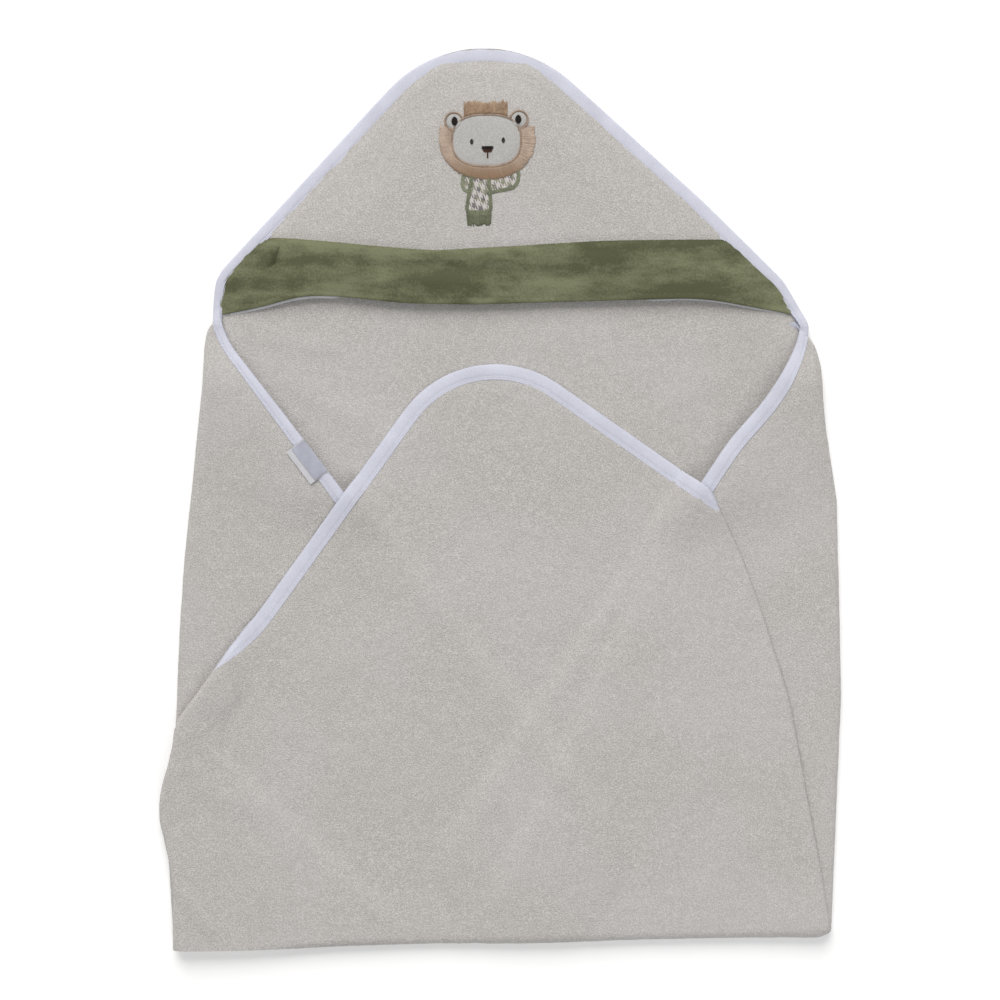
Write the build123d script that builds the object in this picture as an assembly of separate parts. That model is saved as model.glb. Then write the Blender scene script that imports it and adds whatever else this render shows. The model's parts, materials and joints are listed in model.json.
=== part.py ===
"""Hooded baby towel, folded flat: a terry square with one hooded corner and its other corners folded in.

+Z is up, the towel lies on Z = 0, the hood points along +Y, and the origin is below the middle
of the folded bundle. All sizes are in millimetres.
"""
from build123d import *
import os

# ---- driving dimensions -------------------------------------------------------------------------
terry = 2.5                 # one layer of terry towelling
tape = 0.6                  # one wall of the binding tape
tape_width = 12.5           # how far the binding reaches in from an edge
tape_wrap = 0.8             # tape outside the cut edge of the terry
stitch_width = 0.8          # a row of topstitching
stitch_depth = 0.2          # how deep the stitches sink into the tape
stitch_margin = 1.6         # from the inner edge of the tape to the topstitching
body_gap = 0.3              # clear space between parts that move apart
corner_radius = 87.0        # the rounded corners of the towel square
reach = 330.0               # beyond every edge of the folded towel

neck_y = 122.0              # the line where the hood folds forward
crease_y = -296.0           # the crease where the lower corner folds up

# ---- levels of the folded layers ----------------------------------------------------------------
left_flap_z = terry
right_flap_z = left_flap_z + terry
under_fold_z = right_flap_z + terry + body_gap
bottom_flap_z = under_fold_z + terry

# ---- the hood -----------------------------------------------------------------------------------
hood_rim_z = terry          # where the hood panel is sewn down on the back of the towel
pocket_height = 5.2         # clear height inside the hood
pocket_slope = 11.0         # how far the pocket's walls lean in over that height
pocket_margin = 3.0         # from the binding to the foot of the pocket's wall
hood_top_z = hood_rim_z + pocket_height + terry
band_bottom_y = 130.0       # the mouth of the hood
band_top_y = 168.0          # the seam between the velour band and the terry
facing_thickness = 0.5
facing_length = 300.0
facing_y = (126.0, 144.0)

# ---- the embroidered face -----------------------------------------------------------------------
face_x, face_y = -8.5, 240.5
face_size = (44.6, 33.2)
face_corner = 15.0
ear_radius = 5.4
ear_places = [(-22.2, 11.6), (21.1, 12.9)]
inner_ear_radius = 2.8
outline_width = 1.2
scarf_border = 2.5
patch_thickness = 0.5
thread_thickness = 0.9

# ---- the labels in the left binding -------------------------------------------------------------
label_x, label_y = -121.0, 31.0
label_turn = -52.7          # direction of the bound edge that the labels are sewn into
label_seam_z = left_flap_z + terry + 0.9
care_label_size = (27.0, 14.0, 0.4)
brand_label_size = (25.5, 10.0, 0.5)
label_seam = 1.5            # from the edge of the binding to the labels


def plate(face, bottom, thickness):
    """A flat face raised into a layer that lies at a height."""
    return extrude(Pos(0, 0, bottom) * face, amount=thickness, dir=(0, 0, 1))


def mound(face, bottom):
    """A face raised by the height of the pocket into a block whose walls lean inwards."""
    top = offset(face, amount=-pocket_slope)
    return loft([Pos(0, 0, bottom) * face, Pos(0, 0, bottom + pocket_height) * top], ruled=True)


def between_y(low, high):
    """A wide block that keeps what lies between two lines across the towel."""
    return Pos(0, (low + high) / 2, 0) * Box(2 * reach, high - low, 2 * reach)


def rounded_corner(points, tip, radius):
    """A polygon with the corner at one point rounded."""
    shape = Polygon(*points, align=None)
    corner = shape.vertices().sort_by_distance((tip[0], tip[1], 0))[0]
    return fillet(corner, radius)


# ---- outlines of the folded towel ---------------------------------------------------------------
left_fold = [(-217, crease_y), (-222, -215), (-210, -41), (-193, neck_y)]
right_fold = [(205, neck_y), (224, 0), (227, -130), (220, crease_y)]
bundle = Polygon(*left_fold, *right_fold, align=None)

left_tip = (93, -253)
left_corner = rounded_corner(
    [(-226, 166), left_tip, (-16, -331), (-reach, -400), (-reach, 200)], left_tip, 60.0)

right_tip = (-48, -262)
right_corner = rounded_corner(
    [(238, 169), (reach, 200), (reach, -400), (52, -330), right_tip], right_tip, 50.0)

bottom_tip = (-21, 120)
bottom_corner = rounded_corner(
    [bottom_tip, (-244, -189), (-reach, -400), (reach, -400), (300, -105)], bottom_tip, 75.0)
bottom_turn = (138, 8.6)    # where the bound edge turns under on the right
bottom_right_fold = [
    bottom_turn, (160, -38), (174, -76), (192, -134), (206, -210), (214, -255), (220, crease_y)]
bottom_region = Polygon(
    (-217, crease_y), (-222, -215), (-213, -140), (-213, 140), (bottom_turn[0], 140),
    *bottom_right_fold, align=None)

right_under = Polygon((185, 106), (-60, -398), (reach, -398), (reach, 106), align=None)
right_under_region = Polygon(*bottom_right_fold, (-11, crease_y), align=None)
left_under = Polygon((-286, -83), (46, -396), (-reach, -396), (-reach, -83), align=None)
left_under_region = Polygon(
    (-213, -152), (-222, -215), (-217, crease_y), (-60, crease_y), align=None)

hood_tip = (-16, 338)
hood_corner = rounded_corner(
    [(-196, 40), (-192.5, 128), (-191, 146), (-187, 153.5), hood_tip,
     (136, 200), (190, 147), (207, 118), (215, 40)],
    hood_tip, corner_radius)
hood_region = Polygon(
    (-reach, neck_y + body_gap), (reach, neck_y + body_gap), (reach, 400), (-reach, 400), align=None)


def bound_layer(corner, region, bottom):
    """The terry, the binding round its cut edge and the stitching of one folded-in corner."""
    terry_face = offset(corner, amount=-tape_width) & region
    tongue_face = offset(corner, amount=-tape_wrap) & region
    band_face = (corner & region) - terry_face
    tongue = plate(tongue_face, bottom + tape, terry - 2 * tape)
    stitches = stitch_row(corner, region, bottom + terry - stitch_depth)
    towel = plate(terry_face, bottom, terry) + tongue
    binding = plate(band_face, bottom, terry) - tongue - stitches
    return towel, binding, stitches


def stitch_row(corner, region, bottom):
    """A line of topstitching near the inner edge of a binding."""
    inner = tape_width - stitch_margin
    line = offset(corner, amount=stitch_width - inner) - offset(corner, amount=-inner)
    return plate(line & region, bottom, stitch_depth)


def hood_dome():
    """The raised shell of the hood, with the pocket below it open towards the neck."""
    base = offset(hood_corner, amount=-tape_width)
    foot = offset(base, amount=-pocket_margin)
    rim = plate(base, hood_rim_z, terry)
    crown = mound(base, hood_rim_z + terry)
    pocket = mound(foot, hood_rim_z)
    return rim + crown - pocket


def hood_parts():
    """The back corner of the towel, the hood panel, its band and facing, and the binding."""
    band_face = (hood_corner & hood_region) - offset(hood_corner, amount=-tape_width)
    back_face = offset(hood_corner, amount=-tape_width) & hood_region
    tongue_face = offset(hood_corner, amount=-tape_wrap) & hood_region
    back_tongue = plate(tongue_face, tape, terry - tape)
    hood_tongue = plate(tongue_face & band_face, hood_rim_z, terry - tape)
    front = hood_dome() + hood_tongue
    stitches = stitch_row(hood_corner, hood_region, hood_rim_z + terry - stitch_depth)
    sewn_front = front & between_y(band_bottom_y, reach + 100)
    facing_face = Rectangle(facing_length, facing_y[1] - facing_y[0])
    facing = plate(Pos(5, sum(facing_y) / 2) * facing_face,
                   hood_top_z - terry - facing_thickness, facing_thickness)
    band_stitch = Pos(5, band_bottom_y + 3.5) * Rectangle(facing_length, stitch_width)
    band_stitches = plate(band_stitch, hood_top_z - stitch_depth, stitch_depth)
    return {
        "towel_hood_corner": plate(back_face, 0, terry) + back_tongue,
        "hood_panel": front & between_y(band_top_y, reach + 100),
        "hood_band": (front & between_y(band_bottom_y, band_top_y)) - band_stitches,
        "hood_band_facing": facing,
        "hood_binding": plate(band_face, 0, hood_rim_z + terry) - back_tongue - sewn_front - stitches,
        "hood_binding_topstitch": stitches,
        "hood_band_topstitch": band_stitches,
    }


def embroidery_parts():
    """The cub's face, its mane and its scarf, each a thin patch or a pad of thread on the hood."""
    here = Pos(face_x, face_y)
    ears = Sketch() + [Pos(x, y) * Circle(ear_radius) for x, y in ear_places]
    face = Pos(-0.5, -0.9) * RectangleRounded(*face_size, face_corner) + ears
    rim = offset(face, amount=outline_width)
    inner_ears = [Pos(x, y) * Circle(inner_ear_radius) for x, y in ear_places]
    eyes = [Pos(x, y) * Ellipse(1.5, 2.0) for x, y in ((-10.3, -2.0), (10.7, -1.0))]
    muzzle = Polygon((-4.1, -5.0), (4.4, -5.0), (2.8, -9.0), (-2.4, -9.0), align=None)
    mouth = Pos(0.2, -10.9) * Rectangle(1.0, 3.8)
    mane = (Pos(0, 0.6) * Ellipse(32.2, 27.9)) & (Pos(0, -16) * Rectangle(70, 47.2))
    mane = mane - rim
    tuft = (Pos(-1.05, 18.9) * Rectangle(29.3, 13.8)) - rim
    tail = Polygon((-12, -24), (2.4, -24), (3.6, -47), (1.6, -49.9), (-12.6, -49.9), (-15, -47),
                   align=None)
    loop = Polygon((-2, -24), (20.5, -19.5), (22.3, -23), (21.6, -29), (18, -33.6), (-2, -37.8),
                   align=None)
    end = Polygon((-16.8, -23), (-8, -23), (-8, -36), (-13.8, -36), (-16.8, -34.2), (-17.8, -30),
                  align=None)
    tail_cloth = offset(tail, amount=-scarf_border) - mane
    loop_cloth = offset(loop, amount=-scarf_border) - tail - mane
    end_cloth = offset(end, amount=-scarf_border) - tail - mane
    borders = ((tail + loop + end) - mane) - (tail_cloth + loop_cloth + end_cloth)
    fringe = Polygon((-14.5, -47), (3.4, -47), (2.3, -57.7), (-13.2, -57.7), align=None) - tail
    return {
        "applique_face": plate(here * face, hood_top_z, patch_thickness)
        - plate(here * (Sketch() + inner_ears + eyes + muzzle + mouth), hood_top_z, thread_thickness),
        "applique_outline": plate(here * (rim - face), hood_top_z, thread_thickness),
        "applique_inner_ears": plate(here * (Sketch() + inner_ears), hood_top_z, thread_thickness),
        "applique_eyes": plate(here * (Sketch() + eyes), hood_top_z, thread_thickness),
        "applique_nose": plate(here * (muzzle + mouth), hood_top_z, thread_thickness),
        "applique_mane": plate(here * mane, hood_top_z, thread_thickness),
        "applique_tuft": plate(here * tuft, hood_top_z, thread_thickness),
        "applique_scarf_tail": plate(here * tail_cloth, hood_top_z, patch_thickness),
        "applique_scarf_loop": plate(here * loop_cloth, hood_top_z, patch_thickness),
        "applique_scarf_end": plate(here * end_cloth, hood_top_z, patch_thickness),
        "applique_scarf_border": plate(here * borders, hood_top_z, thread_thickness),
        "applique_scarf_fringe": plate(here * fringe, hood_top_z, thread_thickness),
    }


def label(size, bottom):
    """A flat label that hangs from the hinge line in the left binding over the flap."""
    length, width, thickness = size
    sheet = Pos(0, -label_seam - width / 2, bottom + thickness / 2) * Box(length, width, thickness)
    return Pos(label_x, label_y) * Rot(0, 0, label_turn) * sheet


def flap_parts():
    """The back panel, the folded-in corners and everything sewn round their edges."""
    left = bound_layer(left_corner, bundle, left_flap_z)
    right = bound_layer(right_corner, bundle, right_flap_z)
    bottom = bound_layer(bottom_corner, bottom_region, bottom_flap_z)
    under_right = bound_layer(right_under, right_under_region, under_fold_z)
    under_left = bound_layer(left_under, left_under_region, under_fold_z)
    return {
        "towel_back_panel": plate(bundle, 0, terry),
        "towel_left_flap": left[0],
        "left_flap_binding": left[1],
        "left_flap_topstitch": left[2],
        "towel_right_flap": right[0],
        "right_flap_binding": right[1],
        "right_flap_topstitch": right[2],
        "towel_bottom_flap": bottom[0],
        "bottom_flap_binding": bottom[1],
        "bottom_flap_topstitch": bottom[2],
        "towel_right_under_fold": under_right[0],
        "right_under_fold_binding": under_right[1],
        "towel_left_under_fold": under_left[0],
        "left_under_fold_binding": under_left[1],
    }


def label_parts():
    """The washing-care label and the short satin label that lies on it."""
    care_z = label_seam_z - 0.6
    return {
        "care_label": label(care_label_size, care_z),
        "brand_label": label(brand_label_size, care_z + care_label_size[2]),
    }


os.makedirs("parts", exist_ok=True)
for parts in (flap_parts(), hood_parts(), embroidery_parts(), label_parts()):
    for name, shape in parts.items():
        export_step(shape, f"parts/{name}.step")
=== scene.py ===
"""Looks of the hooded baby towel: folded terry, taped edges, a velour hood band and embroidery.

The CAD frame gives the outlines, levels and hinge lines. Every layer of cloth is a surface that maps
a flat point (x, y) to its place in the folded bundle, and the terry, the tape round its edge and the
stitches are all built on that surface. Lengths in the code are metres.
"""

import json
import math

import bmesh
import bpy
import numpy as np
from mathutils.geometry import convex_hull_2d
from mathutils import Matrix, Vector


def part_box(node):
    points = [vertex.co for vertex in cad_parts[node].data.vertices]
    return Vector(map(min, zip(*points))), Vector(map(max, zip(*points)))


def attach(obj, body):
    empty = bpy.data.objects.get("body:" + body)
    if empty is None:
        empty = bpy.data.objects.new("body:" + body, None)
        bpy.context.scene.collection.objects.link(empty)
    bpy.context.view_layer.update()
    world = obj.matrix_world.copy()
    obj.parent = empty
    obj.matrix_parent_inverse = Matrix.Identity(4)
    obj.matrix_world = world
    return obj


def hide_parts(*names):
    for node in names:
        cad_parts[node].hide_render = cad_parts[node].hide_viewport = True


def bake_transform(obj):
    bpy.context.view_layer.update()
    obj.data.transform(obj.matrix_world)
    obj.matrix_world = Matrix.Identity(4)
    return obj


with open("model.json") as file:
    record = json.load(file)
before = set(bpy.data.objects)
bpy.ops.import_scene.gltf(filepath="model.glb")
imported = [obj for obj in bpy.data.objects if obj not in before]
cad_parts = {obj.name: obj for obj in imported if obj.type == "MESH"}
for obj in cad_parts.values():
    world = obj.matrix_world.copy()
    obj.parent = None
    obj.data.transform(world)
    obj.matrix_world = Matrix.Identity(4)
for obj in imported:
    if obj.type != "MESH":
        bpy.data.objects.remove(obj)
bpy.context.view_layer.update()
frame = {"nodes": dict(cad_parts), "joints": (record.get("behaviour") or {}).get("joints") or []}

MM = 0.001

# ---- cloth ----------------------------------------------------------------------------------------
TERRY = 2.5 * MM            # one layer of terry
PINCHED = 1.3 * MM          # terry squeezed inside the tape
VELOUR = 2.0 * MM
TAPE_WALL = 0.45 * MM
TAPE_WRAP = 0.8 * MM        # how far the tape stands outside the cut edge
STITCH_INSET = 10.9 * MM    # from the cut edge to the topstitching
EDGE_SOFT = 13.0 * MM       # how gently a layer steps down over the edge of the layer below
EDGE_SLANT = 0.78           # the free edges run at about this slope to the rows
EDGE_SPACING = 2.4 * MM     # between the points of a taped edge
GRID = 2.6 * MM             # spacing of the cloth meshes
ROLL_ROWS = 10 * MM         # the rows below the crease in a flat grid, before they are wrapped
LOWEST_ROW = -0.2905 - ROLL_ROWS
FOOT_Y = -0.29              # just above the lower crease
CREASE_SLOPE = 0.0214       # the lower crease climbs a little to the right
ROUND_TIP = 30 * MM         # the rounded end of a corner of the towel
FLAP_LIFT = 6.8 * MM        # the side flaps stand up this high round the opening,
FLAP_LIFT_REACH = 75 * MM   # over this much cloth from their free edge
SIDE_PUFF = 1.3 * MM        # the fullness along the sides of the bundle, and how far in it reaches
SIDE_PUFF_REACH = 50 * MM
TURN_PUFF = 2.4 * MM        # the same where the bottom flap's left side turns under
TURN_PUFF_REACH = 34 * MM
HOOD_PUFF = 4.6 * MM        # the hood panel stands this far off the back, but not at its edge
HOOD_PUFF_REACH = 46 * MM
SMALLEST_TURN = 1.3 * MM    # the least radius of a turned-under side
CREASE_MIDDLE = -0.2906     # the lower crease at x = 0, and how far it sags at its left end
CREASE_SAG = 5.2 * MM
TAPE_FOOT = -0.283          # where the side flaps' tapes stop, just above the lower crease
STITCH_LENGTH = 2.5 * MM
STITCH_WIDTH = 0.55 * MM


# ==== the frame ====================================================================================

def low(node, axis):
    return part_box(node)[0][axis]


def high(node, axis):
    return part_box(node)[1][axis]


NECK_Y = high("towel_back_panel", 1)
BACK_MID = (low("towel_back_panel", 2) + high("towel_back_panel", 2)) / 2


def smooth_step(t):
    t = np.clip(t, 0, 1)
    return t * t * (3 - 2 * t)


def unit(vectors):
    return vectors / np.maximum(np.linalg.norm(vectors, axis=-1, keepdims=True), 1e-12)


def to_the_left(directions):
    """Plan directions turned a quarter turn anticlockwise."""
    return np.stack([-directions[:, 1], directions[:, 0]], -1)


def steps_along(path):
    """The lengths of a path's steps."""
    return np.linalg.norm(np.diff(path, axis=0), axis=1)


def bell(reach):
    """Weights for a moving average over `reach` neighbours on each side."""
    kernel = np.hanning(2 * reach + 3)[1:-1]
    return kernel / kernel.sum()


def soften(values, reach):
    """A moving average along a list, with its two ends held."""
    ramp = np.arange(1, reach + 1)
    before = 2 * values[0] - values[ramp][::-1]
    after = 2 * values[-1] - values[-1 - ramp][::-1]
    return np.convolve(np.concatenate([before, values, after]), bell(reach), mode="valid")


def resample(path, spacing):
    """Points evenly spaced along a plan path."""
    path = path[np.concatenate([[True], steps_along(path) > 1e-9])]
    length = np.concatenate([[0], np.cumsum(steps_along(path))])
    at = np.linspace(0, length[-1], max(2, int(round(length[-1] / spacing)) + 1))
    return np.stack([np.interp(at, length, path[:, k]) for k in range(path.shape[1])], -1)


def smooth_path(path, spacing, reach):
    even = resample(path, spacing)
    return np.stack([soften(even[:, 0], reach), soften(even[:, 1], reach)], -1)


class Outline:
    """The convex outline of some CAD nodes, seen from above and running anticlockwise."""

    ROWS = 1500

    def __init__(self, *nodes):
        points = [v.co.to_2d() for node in nodes for v in frame["nodes"][node].data.vertices]
        self.polygon = np.array([points[i] for i in convex_hull_2d(points)])
        following = np.roll(self.polygon, -1, axis=0)
        area = np.sum(self.polygon[:, 0] * following[:, 1] - following[:, 0] * self.polygon[:, 1])
        if area < 0:
            self.polygon = self.polygon[::-1]
        self.bottom, self.top = self.polygon[:, 1].min(), self.polygon[:, 1].max()
        lean = np.sin(np.linspace(0, np.pi / 2, self.ROWS))
        self.rows = self.bottom + (self.top - self.bottom) * (0.0005 + 0.999 * lean)
        crossings = [self.cross(y) for y in self.rows]
        self.left_line = np.array([xs.min() for xs in crossings])
        self.right_line = np.array([xs.max() for xs in crossings])

    def cross(self, y):
        start, end = self.polygon, np.roll(self.polygon, -1, axis=0)
        hit = (start[:, 1] - y) * (end[:, 1] - y) < 0
        start, end = start[hit], end[hit]
        t = (y - start[:, 1]) / (end[:, 1] - start[:, 1])
        return start[:, 0] + t * (end[:, 0] - start[:, 0])

    def left(self, y):
        return np.interp(y, self.rows, self.left_line)

    def right(self, y):
        return np.interp(y, self.rows, self.right_line)

    def part(self, start, end):
        """The outline anticlockwise from its corner nearest `start` to the one nearest `end`."""
        first = np.argmin(np.linalg.norm(self.polygon - start, axis=1))
        last = np.argmin(np.linalg.norm(self.polygon - end, axis=1))
        count = (last - first) % len(self.polygon) + 1
        return np.roll(self.polygon, -first, axis=0)[:count]


BUNDLE = Outline("towel_back_panel")
LEFT_FLAP = Outline("towel_left_flap", "left_flap_binding")
RIGHT_FLAP = Outline("towel_right_flap", "right_flap_binding")
BOTTOM_FLAP = Outline("towel_bottom_flap", "bottom_flap_binding")
LEFT_UNDER = Outline("left_under_fold_binding", "towel_left_under_fold")
RIGHT_UNDER = Outline("right_under_fold_binding", "towel_right_under_fold")
HOOD = Outline("towel_hood_corner", "hood_binding")


# ==== soft noise ===================================================================================

NOISE_CELLS = 64            # the hills repeat after this many


def noise(x, y, size, seed):
    """Smooth random hills, about `size` apart, from -1 to 1."""
    table = np.random.default_rng(seed).uniform(-1, 1, (NOISE_CELLS, NOISE_CELLS))
    u, v = np.asarray(x) / size + 100.0, np.asarray(y) / size + 100.0
    i, j = np.floor(u).astype(int), np.floor(v).astype(int)
    a, b = smooth_step(u - i), smooth_step(v - j)
    i0, i1, j0, j1 = (k % NOISE_CELLS for k in (i, i + 1, j, j + 1))
    near = table[i0, j0] * (1 - a) + table[i1, j0] * a
    far = table[i0, j1] * (1 - a) + table[i1, j1] * a
    return near * (1 - b) + far * b


def bulge(y, height, middle, reach):
    """A soft swelling of `height` mm on a side line, about one height of the towel."""
    return height * MM * np.exp(-((y - middle) / reach) ** 2)


def ridge(x, y, start, end, width, height):
    """A soft crease in mm that runs from one point to another and fades at its ends."""
    dx, dy = end[0] - start[0], end[1] - start[1]
    length = math.hypot(dx, dy)
    along = ((x - start[0]) * dx + (y - start[1]) * dy) / length ** 2
    across = ((x - start[0]) * dy - (y - start[1]) * dx) / length
    fade = smooth_step(along * 4) * smooth_step((1 - along) * 4)
    return height * MM * fade * np.exp(-(across / (width * MM)) ** 2)


def creases(x, y, table):
    """Several creases together, each given by its start, end, width and height."""
    return sum(ridge(x, y, *row) for row in table)


# ==== the folded surfaces ==========================================================================

def clear_of_tape(distance):
    """0 where the tape pinches the terry, 1 where the terry has its full thickness."""
    return smooth_step((distance - 8 * MM) / (9 * MM))


def beyond_edge(free_x, x, side):
    """1 up to a taped free edge, 0 well past it, and a gentle step down between."""
    return smooth_step(side * (free_x - x) * EDGE_SLANT / EDGE_SOFT + 1.1)


def left_side(y):
    """The bundle's left side, which draws in under the tape at the neck."""
    swelling = bulge(y, 1.8, -0.150, 0.040) - bulge(y, 1.6, 0.105, 0.015)
    return BUNDLE.left(y) + swelling + 5.5 * MM * smooth_step((y - 0.112) / 0.013)


def right_side(y):
    """The bundle's right side, drawn in likewise."""
    return BUNDLE.right(y) + bulge(y, 2.8, 0.088, 0.024) - 7.5 * MM * smooth_step((y - 0.101) / 0.020)


def left_cover(x, y):
    return beyond_edge(LEFT_FLAP.right(y), x, 1)


def right_cover(x, y):
    return beyond_edge(RIGHT_FLAP.left(y), x, -1)


def bottom_left_edge(y):
    """The bottom flap's left side, which swells out where it wraps over the bundle."""
    side = BUNDLE.left(y) - bulge(y, 5.0, -0.200, 0.027) + bulge(y, 2.2, -0.160, 0.030)
    side = side + bulge(y, 2.4, -0.258, 0.026)
    return np.where(y > -0.152, np.maximum(side, BOTTOM_FLAP.left(y)), side)


def left_turn(y):
    """How far the bottom flap's left side is turned under; its tape rolls out of sight on the way."""
    rolled = 20 * MM * smooth_step((-0.076 - y) / 0.055)
    sewn = LEFT_UNDER.right(y) - bottom_left_edge(y)
    return np.maximum(rolled, sewn)


def under_cover(x, y):
    turned = left_turn(y)
    left = beyond_edge(bottom_left_edge(y) - 22 * MM + turned + np.minimum(turned, 20 * MM), x, 1)
    right = beyond_edge(RIGHT_UNDER.left(y), x, -1)
    return np.maximum(left, right)


def fold_sideways(x, edge, side, radius):
    """Where a flat x lands when the cloth turns under at a side edge, and the angle of its turn."""
    past_start = side * (x - edge) + radius
    angle = np.clip(past_start / radius, 0, np.pi)
    past_end = np.maximum(past_start - np.pi * radius, 0)
    rolled = edge - side * (radius - radius * np.sin(angle) + past_end)
    return np.where(past_start <= 0, x, rolled), angle


def between_levels(z_top, z_low, angle):
    """The height on a roll that leaves the upper level at angle 0 and reaches the lower at pi."""
    return (z_top + z_low) / 2 + (z_top - z_low) / 2 * np.cos(angle)


def v_lift(distance, y):
    """How far the side flaps stand up round the opening, from their free edge back."""
    opening = smooth_step((0.113 - y) / 0.040) * smooth_step((y + 0.035) / 0.045)
    return FLAP_LIFT * opening * smooth_step(1 - (distance - 3 * MM) / FLAP_LIFT_REACH)


def side_puff(distance):
    """The fullness of the fold along the side of the bundle."""
    return SIDE_PUFF * smooth_step(1 - distance / SIDE_PUFF_REACH)


def flap_hills(x, y, seed):
    """The uneven lie of a side flap."""
    return MM * (0.35 + 0.35 * noise(x, y, 45 * MM, seed) + 0.12 * noise(x, y, 14 * MM, seed + 1))


def left_level(x, y):
    """The middle of the left flap."""
    lift = v_lift((LEFT_FLAP.right(y) - x) * EDGE_SLANT, y) + side_puff(x - left_side(y))
    return BACK_MID + TERRY + flap_hills(x, y, 11) + lift


def right_level(x, y):
    """The middle of the right flap, which lies over the left one."""
    lift = v_lift((x - RIGHT_FLAP.left(y)) * EDGE_SLANT, y) + side_puff(right_side(y) - x)
    return BACK_MID + TERRY * (1 + left_cover(x, y)) + flap_hills(x, y, 15) + lift


def bottom_low_level(x, y):
    """The middle of the turned-under layer of the bottom flap."""
    left = left_cover(x, y) * (left_level(x, y) - BACK_MID)
    right = right_cover(x, y) * (right_level(x, y) - BACK_MID - TERRY * left_cover(x, y))
    return BACK_MID + TERRY + left + right + 0.1 * MM


def fold_puff(x, y):
    """The fullness of the bottom flap's left side where it starts to turn under."""
    along = smooth_step((-0.060 - y) / 0.040) * smooth_step((y + 0.215) / 0.060)
    return TURN_PUFF * along * smooth_step(1 - (x - bottom_left_edge(y)) / TURN_PUFF_REACH)


BOTTOM_CREASES = [
    ((-0.135, -0.010), (-0.020, -0.085), 16, 1.0),
    ((-0.060, 0.040), (0.030, -0.060), 14, -0.8),
    ((-0.206, -0.150), (-0.196, -0.225), 5, -1.2),
    ((-0.212, -0.185), (-0.150, -0.215), 7, 0.7),
    ((0.180, -0.090), (0.208, -0.260), 9, 0.8),
]


def bottom_hills(x, y):
    """The middle of the outer layer of the bottom flap, before the lower crease evens it out."""
    hills = 0.55 * noise(x, y, 55 * MM, 3) + 0.3 * noise(x, y, 22 * MM, 4) + 0.12 * noise(x, y, 9 * MM, 5)
    raised = hills * MM + creases(x, y, BOTTOM_CREASES) + fold_puff(x, y)
    return bottom_low_level(x, y) + TERRY * under_cover(x, y) + raised


def crease_y(x):
    """Where the layers start to turn round the lower crease, whose two ends are rounded off."""
    ends = smooth_step((BUNDLE.left(FOOT_Y) + 9 * MM - x) / (10 * MM))
    ends = ends + smooth_step((x - BUNDLE.right(FOOT_Y) + 9 * MM) / (10 * MM))
    sag = CREASE_SAG * smooth_step((-0.095 - x) / 0.105)
    return CREASE_MIDDLE + CREASE_SLOPE * x + 3 * MM * ends - sag


CREASE_X = np.linspace(BUNDLE.left(FOOT_Y) + 4 * MM, BUNDLE.right(FOOT_Y) - 4 * MM, 160)
CREASE_TOP = soften(bottom_hills(CREASE_X, crease_y(CREASE_X)), 26)


def bottom_level(x, y):
    """The middle of the outer layer of the bottom flap."""
    free = smooth_step((y - crease_y(x)) / 0.035)
    crease = ridge(x, y, (-0.217, -0.254), (-0.188, -0.294), 3.5, 1.5)
    return bottom_hills(x, y) * free + np.interp(x, CREASE_X, CREASE_TOP) * (1 - free) + crease


def crease_roll(x):
    """The radius and middle height of the outermost roll at the lower crease."""
    top = np.interp(x, CREASE_X, CREASE_TOP)
    return (top - BACK_MID) / 2, (top + BACK_MID) / 2


def roll_rows(x, y):
    """Spreads the flat rows below the crease evenly over the quarter turn of the roll."""
    radius = crease_roll(x)[0]
    turn = np.clip((crease_y(x) - y) / ROLL_ROWS, 0, 1)
    return np.where(turn > 0, crease_y(x) - turn * radius * np.pi / 2, y)


def roll_at_crease(x, y, z, from_above):
    """Bends what lies past the lower crease down, or up, to the middle of the roll."""
    radius, middle = crease_roll(x)
    past = crease_y(x) - y
    angle = np.clip(past / radius, 0, np.pi / 2)
    arm = np.maximum(z - middle if from_above else middle - z, 0.3 * MM)
    rolled_y = crease_y(x) - arm * np.sin(angle)
    rolled_z = middle + (arm if from_above else -arm) * np.cos(angle)
    return np.where(past <= 0, y, rolled_y), np.where(past <= 0, z, rolled_z)


BACK_PULLS = [
    ((-0.150, 0.085), (-0.055, 0.030), 9, 0.9),
    ((-0.165, 0.110), (-0.100, 0.098), 6, 0.7),
    ((0.170, 0.095), (0.100, 0.055), 9, 0.6),
]


def back_surface(x, y):
    """The back of the towel, from the lower crease to the tip of the hood."""
    sides = np.minimum(x - left_side(y), right_side(y) - x)
    calm = smooth_step(sides / 0.02) * smooth_step((y - crease_y(x)) / 0.02)
    on_hood = smooth_step((y - NECK_Y + 0.01) / 0.02)
    calm = calm * (1 - on_hood) + clear_of_tape(hood_inset(x, y)) * on_hood
    hills = 0.35 + 0.25 * noise(x, y, 40 * MM, 8) + 0.1 * noise(x, y, 12 * MM, 9)
    z = BACK_MID + calm * (hills * MM + creases(x, y, BACK_PULLS))
    y_out, z_out = roll_at_crease(x, y, z, from_above=False)
    return np.stack([x, y_out, z_out], -1)


def side_radius(level, edge_x, y):
    """The radius of the roll that joins a side flap to the back."""
    return (level(edge_x, y) - BACK_MID) / 2


def side_flap_surface(x, y, bundle_edge, side, level):
    """A side corner, turned in over the back round the towel's side edge."""
    edge = bundle_edge(y)
    x_out, angle = fold_sideways(x, edge, side, side_radius(level, edge, y))
    z_out = between_levels(level(x_out, y), BACK_MID, angle)
    y_out, z_out = roll_at_crease(x_out, y, z_out, from_above=False)
    return np.stack([x_out, y_out, z_out], -1)


def left_flap_surface(x, y):
    return side_flap_surface(x, y, left_side, -1, left_level)


def right_flap_surface(x, y):
    return side_flap_surface(x, y, right_side, 1, right_level)


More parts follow.
